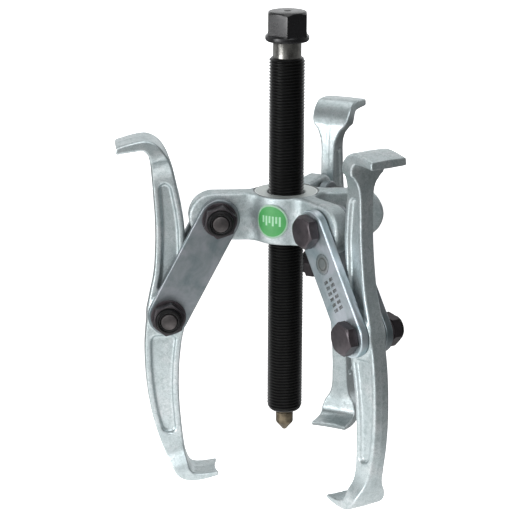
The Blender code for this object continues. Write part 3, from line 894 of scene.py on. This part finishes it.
def link_mesh(low, high):
    """A flat bar with round ends and two holes, its edges rolled to a small radius."""
    corner = (-LINK_HALF_WIDTH, low, -LINK_HALF_WIDTH)
    axes = axes_of(corner, (LINK_LENGTH + LINK_HALF_WIDTH, high, LINK_HALF_WIDTH), 0.4)
    x, y, z = axes[0][:, None, None], axes[1][None, :, None], axes[2][None, None, :]
    bar = np.hypot(x - np.clip(x, 0.0, LINK_LENGTH), z) - LINK_HALF_WIDTH
    middle, half = (low + high) / 2, (high - low) / 2
    metal = both(bar, np.abs(y - middle) - half, 0.8)
    metal = metal + 0.02 * waviness(x, y, z)
    for centre in (0.0, LINK_LENGTH):
        metal = without(metal, np.hypot(x - centre, z) - BOLT_HOLE_RADIUS, 0.3)
    return mesh_of("link_bar", *skin(metal, axes))


def jaw_skin():
    """(points, quads) of a jaw about its pivot: u outwards, w across, v up."""
    rows = smooth_rows(JAW_SECTIONS, 5)
    inner, outer = rows[:, 0:2].copy(), rows[:, 2:4].copy()
    # The outline is drawn a little small and then grown, which rounds its corners.
    depth = (outer - inner) / np.linalg.norm(outer - inner, axis=1)[:, None]
    inner += depth * JAW_TIP_ROUND
    outer -= depth * JAW_TIP_ROUND
    for side in (inner, outer):
        for end, after in ((0, 1), (-1, -2)):
            away = side[after] - side[end]
            side[end] += away / np.linalg.norm(away) * JAW_TIP_ROUND
    outline = np.vstack((inner, outer[::-1]))
    axes = axes_of((-30.0, -12.2, -104.0), (30.2, 12.2, 106.0), 0.5)
    u, v = np.meshgrid(axes[0], axes[2], indexing="ij")
    edge, _ = along_line(u, v, np.vstack((outline, outline[:1])))
    flat = np.where(within(u, v, outline), -edge, edge) - JAW_TIP_ROUND
    _, place = along_line(u, v, (inner + outer) / 2)
    half = np.interp(place, np.arange(len(rows)), rows[:, 4] / 2)
    radius = np.interp(place, np.arange(len(rows)), rows[:, 5])
    flat, half, radius, u, v = (a[:, None, :] for a in (flat, half, radius, u, v))
    w = axes[1][None, :, None]
    across = np.abs(w)
    # The narrow stem leans in more steeply from the parting line than the wide tips.
    draft = 0.02 + 0.05 * np.clip((11.0 - half) / 5.0, 0.0, 1.0)
    metal = both(flat + draft * across, across - half, radius)
    boss = both(np.hypot(u, v) - BOSS_RADIUS + 0.04 * across, across - BOSS_HALF_WIDTH, 1.0)
    metal = either(metal, boss, 1.2)
    metal = metal + SURFACE_WAVE * waviness(u, w, v) - 0.10 * np.exp(-((w / PARTING_WIDTH) ** 2))
    for (low, high), web in JAW_POCKETS:
        plan = both(flat + POCKET_RIM, np.abs(v - (low + high) / 2) - (high - low) / 2, 3.6)
        cavity = both(plan + (half - across) * 0.35, web - across, 1.3)
        metal = without(metal, cavity, 1.0)
    metal = without(metal, np.hypot(u, v) - BOLT_HOLE_RADIUS, 0.3)
    hollow, bend = TOE_HOLLOW
    metal = without(metal, np.hypot(u + JAW_REACH - hollow + bend, w) - bend, 0.5)
    hollow, bend = CLAW_HOLLOW
    metal = without(metal, np.hypot(u - JAW_REACH + hollow - bend, w) - bend, 0.6)
    return skin(metal, axes)


def bolt_mesh():
    """A hexagon head bolt across the arm: built upright, then laid with its head at -y."""
    base, top, edge = LINK_OUTER_FACE + 0.3, 17.9, 8.0
    shank = [
        (0.0, -23.2),
        (3.8, -23.2),
        (4.4, -22.95),
        (4.75, -22.4),
        (4.75, -14.0),
        (5.0, -13.4),
        (5.0, base),
    ]
    head = (
        (base, edge),
        (lambda r: base + (r - edge) * HEX_CHAMFER * 0.6, None),
        (lambda r: top - (r - edge) * HEX_CHAMFER - 0.15, None),
        (top - 0.1, edge),
        (top, edge - 0.35),
        (top, 0.0),
    )
    rings = turned(shank, HEX_POINTS, phase=HEX_TURN)
    rings += [hex_ring(HEX_FLATS, HEX_TURN, height, radius) for height, radius in head]
    laid = [[(x, -z, y) for x, y, z in ring] for ring in rings]
    zones = [1] * 6 + [0] * (len(rings) - 7)
    return mesh_from_rings("hexagon_bolt", laid, sharp=30.0, zones=zones)


def nut_mesh():
    """A self-locking nut: a hexagon chamfered at both ends, with a collar round its ring."""
    base, top, edge = 13.4, 20.0, 8.0
    bore = [(5.3, base + 5.0), (5.3, base + 0.6), (5.9, base), (edge - 0.3, base)]
    sides = (
        (lambda r: base + 0.1 + (r - edge) * HEX_CHAMFER * 0.8, None),
        (lambda r: top - 0.1 - (r - edge) * HEX_CHAMFER, None),
        (top, edge - 0.15),
    )
    collar = [
        (7.35, top),
        (7.3, top + 1.3),
        (7.12, top + 2.05),
        (6.75, top + 2.5),
        (6.3, top + 2.6),
        (6.0, top + 2.5),
        (6.0, top - 0.4),
        (5.3, top - 0.4),
    ]
    rings = turned(bore, HEX_POINTS, phase=HEX_TURN)
    rings += [hex_ring(HEX_FLATS, HEX_TURN, height, radius) for height, radius in sides]
    rings += turned(rounded(collar, 0.2, 2), HEX_POINTS, phase=HEX_TURN)
    laid = [[(x, z, y) for x, y, z in ring] for ring in rings]
    zones = [0] * 6 + [1] * (len(rings) - 6)
    return mesh_from_rings("locking_nut", laid, closed_loop=True, sharp=32.0, zones=zones)


def washer_mesh():
    profile = [
        (5.4, 11.5),
        (9.9, 11.5),
        (10.2, 11.75),
        (10.2, 12.75),
        (9.85, 13.1),
        (5.6, 13.1),
        (5.4, 12.9),
    ]
    return mesh_from_rings("flat_washer", turned(profile, 64, "Y"), closed_loop=True)


def insert_mesh():
    profile = [(5.2, 20.0), (5.85, 20.0), (5.85, 21.9), (5.6, 22.1), (5.25, 22.0)]
    return mesh_from_rings("nylon_ring", turned(profile, 48, "Y"), closed_loop=True)


def make_arms(materials):
    """Each arm's two link bars, its bolts, washers, nuts and nylon rings, and its jaw."""
    links = {
        "nut_side": link_mesh(LINK_INNER_FACE, LINK_OUTER_FACE),
        "head_side": link_mesh(-LINK_OUTER_FACE, -LINK_INNER_FACE),
    }
    jaw_points, jaw_quads = jaw_skin()
    # kind: piece name, mesh, material slot, looks
    fasteners = {
        "bolt": ("hexagon_bolt", bolt_mesh(), "black_oxide", ("black_oxide", "bolt_end")),
        "washer": ("flat_washer", washer_mesh(), "black_oxide", ("black_oxide",)),
        "nut": ("locking_nut", nut_mesh(), "black_oxide", ("nut_black", "nut_collar")),
        "nut_insert": ("nylon_ring", insert_mesh(), "nylon", ("nylon",)),
    }
    for arm in ARMS:
        upper, lower = JOINTS[f"link_pivot_{arm}"], JOINTS[f"jaw_pivot_{arm}"]
        axes = arm_axes(upper)
        start, end = Vector(upper["pos_m"]), Vector(lower["pos_m"])
        drop = math.atan2(start.z - end.z, (end - start).dot(axes[0]))
        body = f"link_{arm}"
        at_yoke, at_jaw = arm_matrix(start, axes, drop), arm_matrix(end, axes, drop)
        for side, mesh in links.items():
            # The front head-side link takes the stamped plate, whose colour is made lighter as
            # painted light.
            stamped = arm == "front" and side == "head_side"
            look = materials["stamped_zinc_painted_light" if stamped else "link_zinc"]
            if stamped:
                mesh = mesh.copy()
                mesh.materials.clear()
            name = f"bar_{arm}_{side}"
            add_piece(name, mesh, [look], f"link_{arm}_{side}", body, at_yoke)
        for place, matrix in (("yoke", at_yoke), ("jaw", at_jaw)):
            for kind, (name, mesh, slot, looks) in fasteners.items():
                placed = mesh.copy()
                placed.transform(matrix)
                kinds = [materials[look] for look in looks]
                replaced = f"{place}_{kind}_{arm}"
                add_piece(f"{place}_{name}_{arm}", placed, kinds, replaced, body)
        turn = np.array(arm_matrix(end, axes, math.radians(-JAW_LEAN[arm])).to_3x3())
        points = jaw_points @ turn.T + np.array(end) / MM
        mesh = mesh_of(f"jaw_forging_{arm}", points, jaw_quads)
        kinds = [materials["forged_zinc"]]
        add_piece(f"forged_jaw_{arm}", mesh, kinds, f"jaw_{arm}", f"jaw_{arm}")


# Studio


def make_camera():
    """A long lens, a little left of the object and above it."""
    pitch, yaw, roll = math.radians(16.09), math.radians(2.73), math.radians(0.25)
    level = math.cos(pitch)
    ahead = Vector((math.sin(yaw) * level, math.cos(yaw) * level, -math.sin(pitch)))
    right = ahead.cross(Vector((0.0, 0.0, 1.0))).normalized()
    up = right.cross(ahead)
    c, s = math.cos(roll), math.sin(roll)
    right, up = right * c + up * s, up * c - right * s
    data = bpy.data.cameras.new("camera")
    data.sensor_width = 36.0
    data.lens = 145.72
    data.clip_start, data.clip_end = 0.05, 50.0
    camera = bpy.data.objects.new("camera", data)
    bpy.context.scene.collection.objects.link(camera)
    matrix = Matrix((right, up, -ahead)).transposed().to_4x4()
    matrix.translation = (-0.07131, -1.18133, 0.44613)
    camera.matrix_world = matrix
    bpy.context.scene.camera = camera


def make_world():
    """A soft studio: dim grey all round, with the light areas that the plated metal mirrors."""
    dim, wall, tint = 0.14, 0.84, (0.985, 1.0, 1.01)
    # Direction, the cosines of the angles at which it starts and is full, and strength
    lobes = (
        ((-0.82, -0.54, -0.17), 0.90, 0.975, 2.8),  # softbox, front left
        ((-0.15, 0.25, 1.0), 0.72, 0.93, 0.5),  # ceiling
        ((-0.9, 0.42, 0.22), 0.74, 0.95, 0.55),  # left wall
        ((-0.35, -0.85, 0.25), 0.85, 0.96, 0.9),  # beside the camera
        ((0.08, -0.74, 0.68), 0.87, 0.96, 2.4),  # softbox, high over the camera
        ((0.0, 1.0, -0.2), 0.0, 0.90, 0.16),  # floor behind
        ((0.9, 0.5, 0.1), 0.60, 0.95, 0.16),  # right wall
    )
    world = bpy.data.worlds.new("studio")
    bpy.context.scene.world = world
    world.use_nodes = True
    tree = world.node_tree
    direction = node(tree, "ShaderNodeTexCoord").outputs["Generated"]

    def smooth_step(value, start, full, strength=1.0):
        inputs = {"Value": value, "From Min": start, "From Max": full, "To Max": strength}
        made = node(tree, "ShaderNodeMapRange", inputs, interpolation_type="SMOOTHSTEP")
        return made.outputs["Result"]

    total = node(tree, "ShaderNodeValue").outputs[0]
    total.default_value = dim
    for towards, start, full, strength in lobes:
        unit = tuple(Vector(towards).normalized())
        dot = node(tree, "ShaderNodeVectorMath", {0: direction, 1: unit}, operation="DOT_PRODUCT")
        lit = smooth_step(dot.outputs["Value"], start, full, strength)
        total = math_node(tree, "ADD", total, lit)
    # The white wall behind, from just below the horizon to about 20 degrees above it
    parts = node(tree, "ShaderNodeSeparateXYZ", {"Vector": direction})
    band = 1.0
    for side, start, full in (("Z", -0.08, 0.10), ("Z", 0.50, 0.34), ("Y", 0.15, 0.60)):
        band = math_node(tree, "MULTIPLY", band, smooth_step(parts.outputs[side], start, full))
    total = math_node(tree, "ADD", total, math_node(tree, "MULTIPLY", band, wall))
    cool = node(tree, "ShaderNodeVectorMath", {0: tint}, operation="SCALE")
    tree.links.new(total, cool.inputs["Scale"])
    tree.links.new(cool.outputs["Vector"], tree.nodes["Background"].inputs["Color"])


def add_area(name, place, aim, size, power):
    data = bpy.data.lights.new(name, "AREA")
    data.shape = "RECTANGLE"
    data.size, data.size_y = size
    data.energy = power
    light = bpy.data.objects.new(name, data)
    light.location = place
    light.rotation_euler = (Vector(aim) - Vector(place)).to_track_quat("-Z", "Y").to_euler()
    bpy.context.scene.collection.objects.link(light)


def add_plane(name, half, height, material):
    mesh = bpy.data.meshes.new(name)
    signs = ((-1, -1), (1, -1), (1, 1), (-1, 1))
    corners = [(half * x, half * y, height) for x, y in signs]
    mesh.from_pydata(corners, [], [(0, 1, 2, 3)])
    mesh.materials.append(material)
    plane = bpy.data.objects.new(name, mesh)
    bpy.context.scene.collection.objects.link(plane)
    return plane


def make_floor():
    """A pale floor that the camera sees, and just over it a bright card that the camera doesn't
    see, whose glow lights the tool from below and is mirrored in it."""
    low = CAD_BOX[0][2]
    white = bpy.data.materials.new("floor_white")
    white.use_nodes = True
    shader = white.node_tree.nodes["Principled BSDF"]
    shader.inputs["Base Color"].default_value = (0.92, 0.92, 0.92, 1.0)
    shader.inputs["Roughness"].default_value = 0.9
    shader.inputs["Emission Color"].default_value = (1.0, 1.0, 1.0, 1.0)
    shader.inputs["Emission Strength"].default_value = 0.96
    floor = add_plane("floor", 8.0, low - 0.0002, white)
    floor.visible_glossy = False
    floor.visible_diffuse = False

    glow = bpy.data.materials.new("table_glow")
    glow.use_nodes = True
    tree = glow.node_tree
    place = node(tree, "ShaderNodeTexCoord").outputs["Object"]
    centre = (-0.13, -0.16, low - 0.0001)
    distance = node(tree, "ShaderNodeVectorMath", {0: place, 1: centre}, operation="DISTANCE")
    # Metres from the card's centre, and the brightness there
    stops = (
        (0.0, 1.0),
        (0.15, 0.97),
        (0.23, 0.62),
        (0.30, 0.26),
        (0.40, 0.19),
        (0.52, 0.13),
        (0.70, 0.06),
    )
    bright = ramp(tree, distance.outputs["Value"], stops)
    lit = node(tree, "ShaderNodeEmission", {"Color": bright, "Strength": 1.5})
    tree.links.new(lit.outputs["Emission"], tree.nodes["Material Output"].inputs["Surface"])
    card = add_plane("table_glow", 0.7, low - 0.0001, glow)
    card.visible_camera = False
    card.visible_shadow = False


def main():
    bpy.context.scene.view_settings.view_transform = "Standard"
    materials = make_materials()
    make_spindle(materials)
    make_tip(materials)
    make_yoke(materials)
    make_label(materials)
    make_arms(materials)
    make_camera()
    make_world()
    make_floor()
    add_area("overhead", (0.1, 0.5, 1.1), (0.0, 0.0, 0.12), (0.8, 0.8), 2.0)
    add_area("key", (-1.1, -0.75, 0.25), (0.0, 0.0, 0.11), (0.5, 0.5), 6.5)


main()
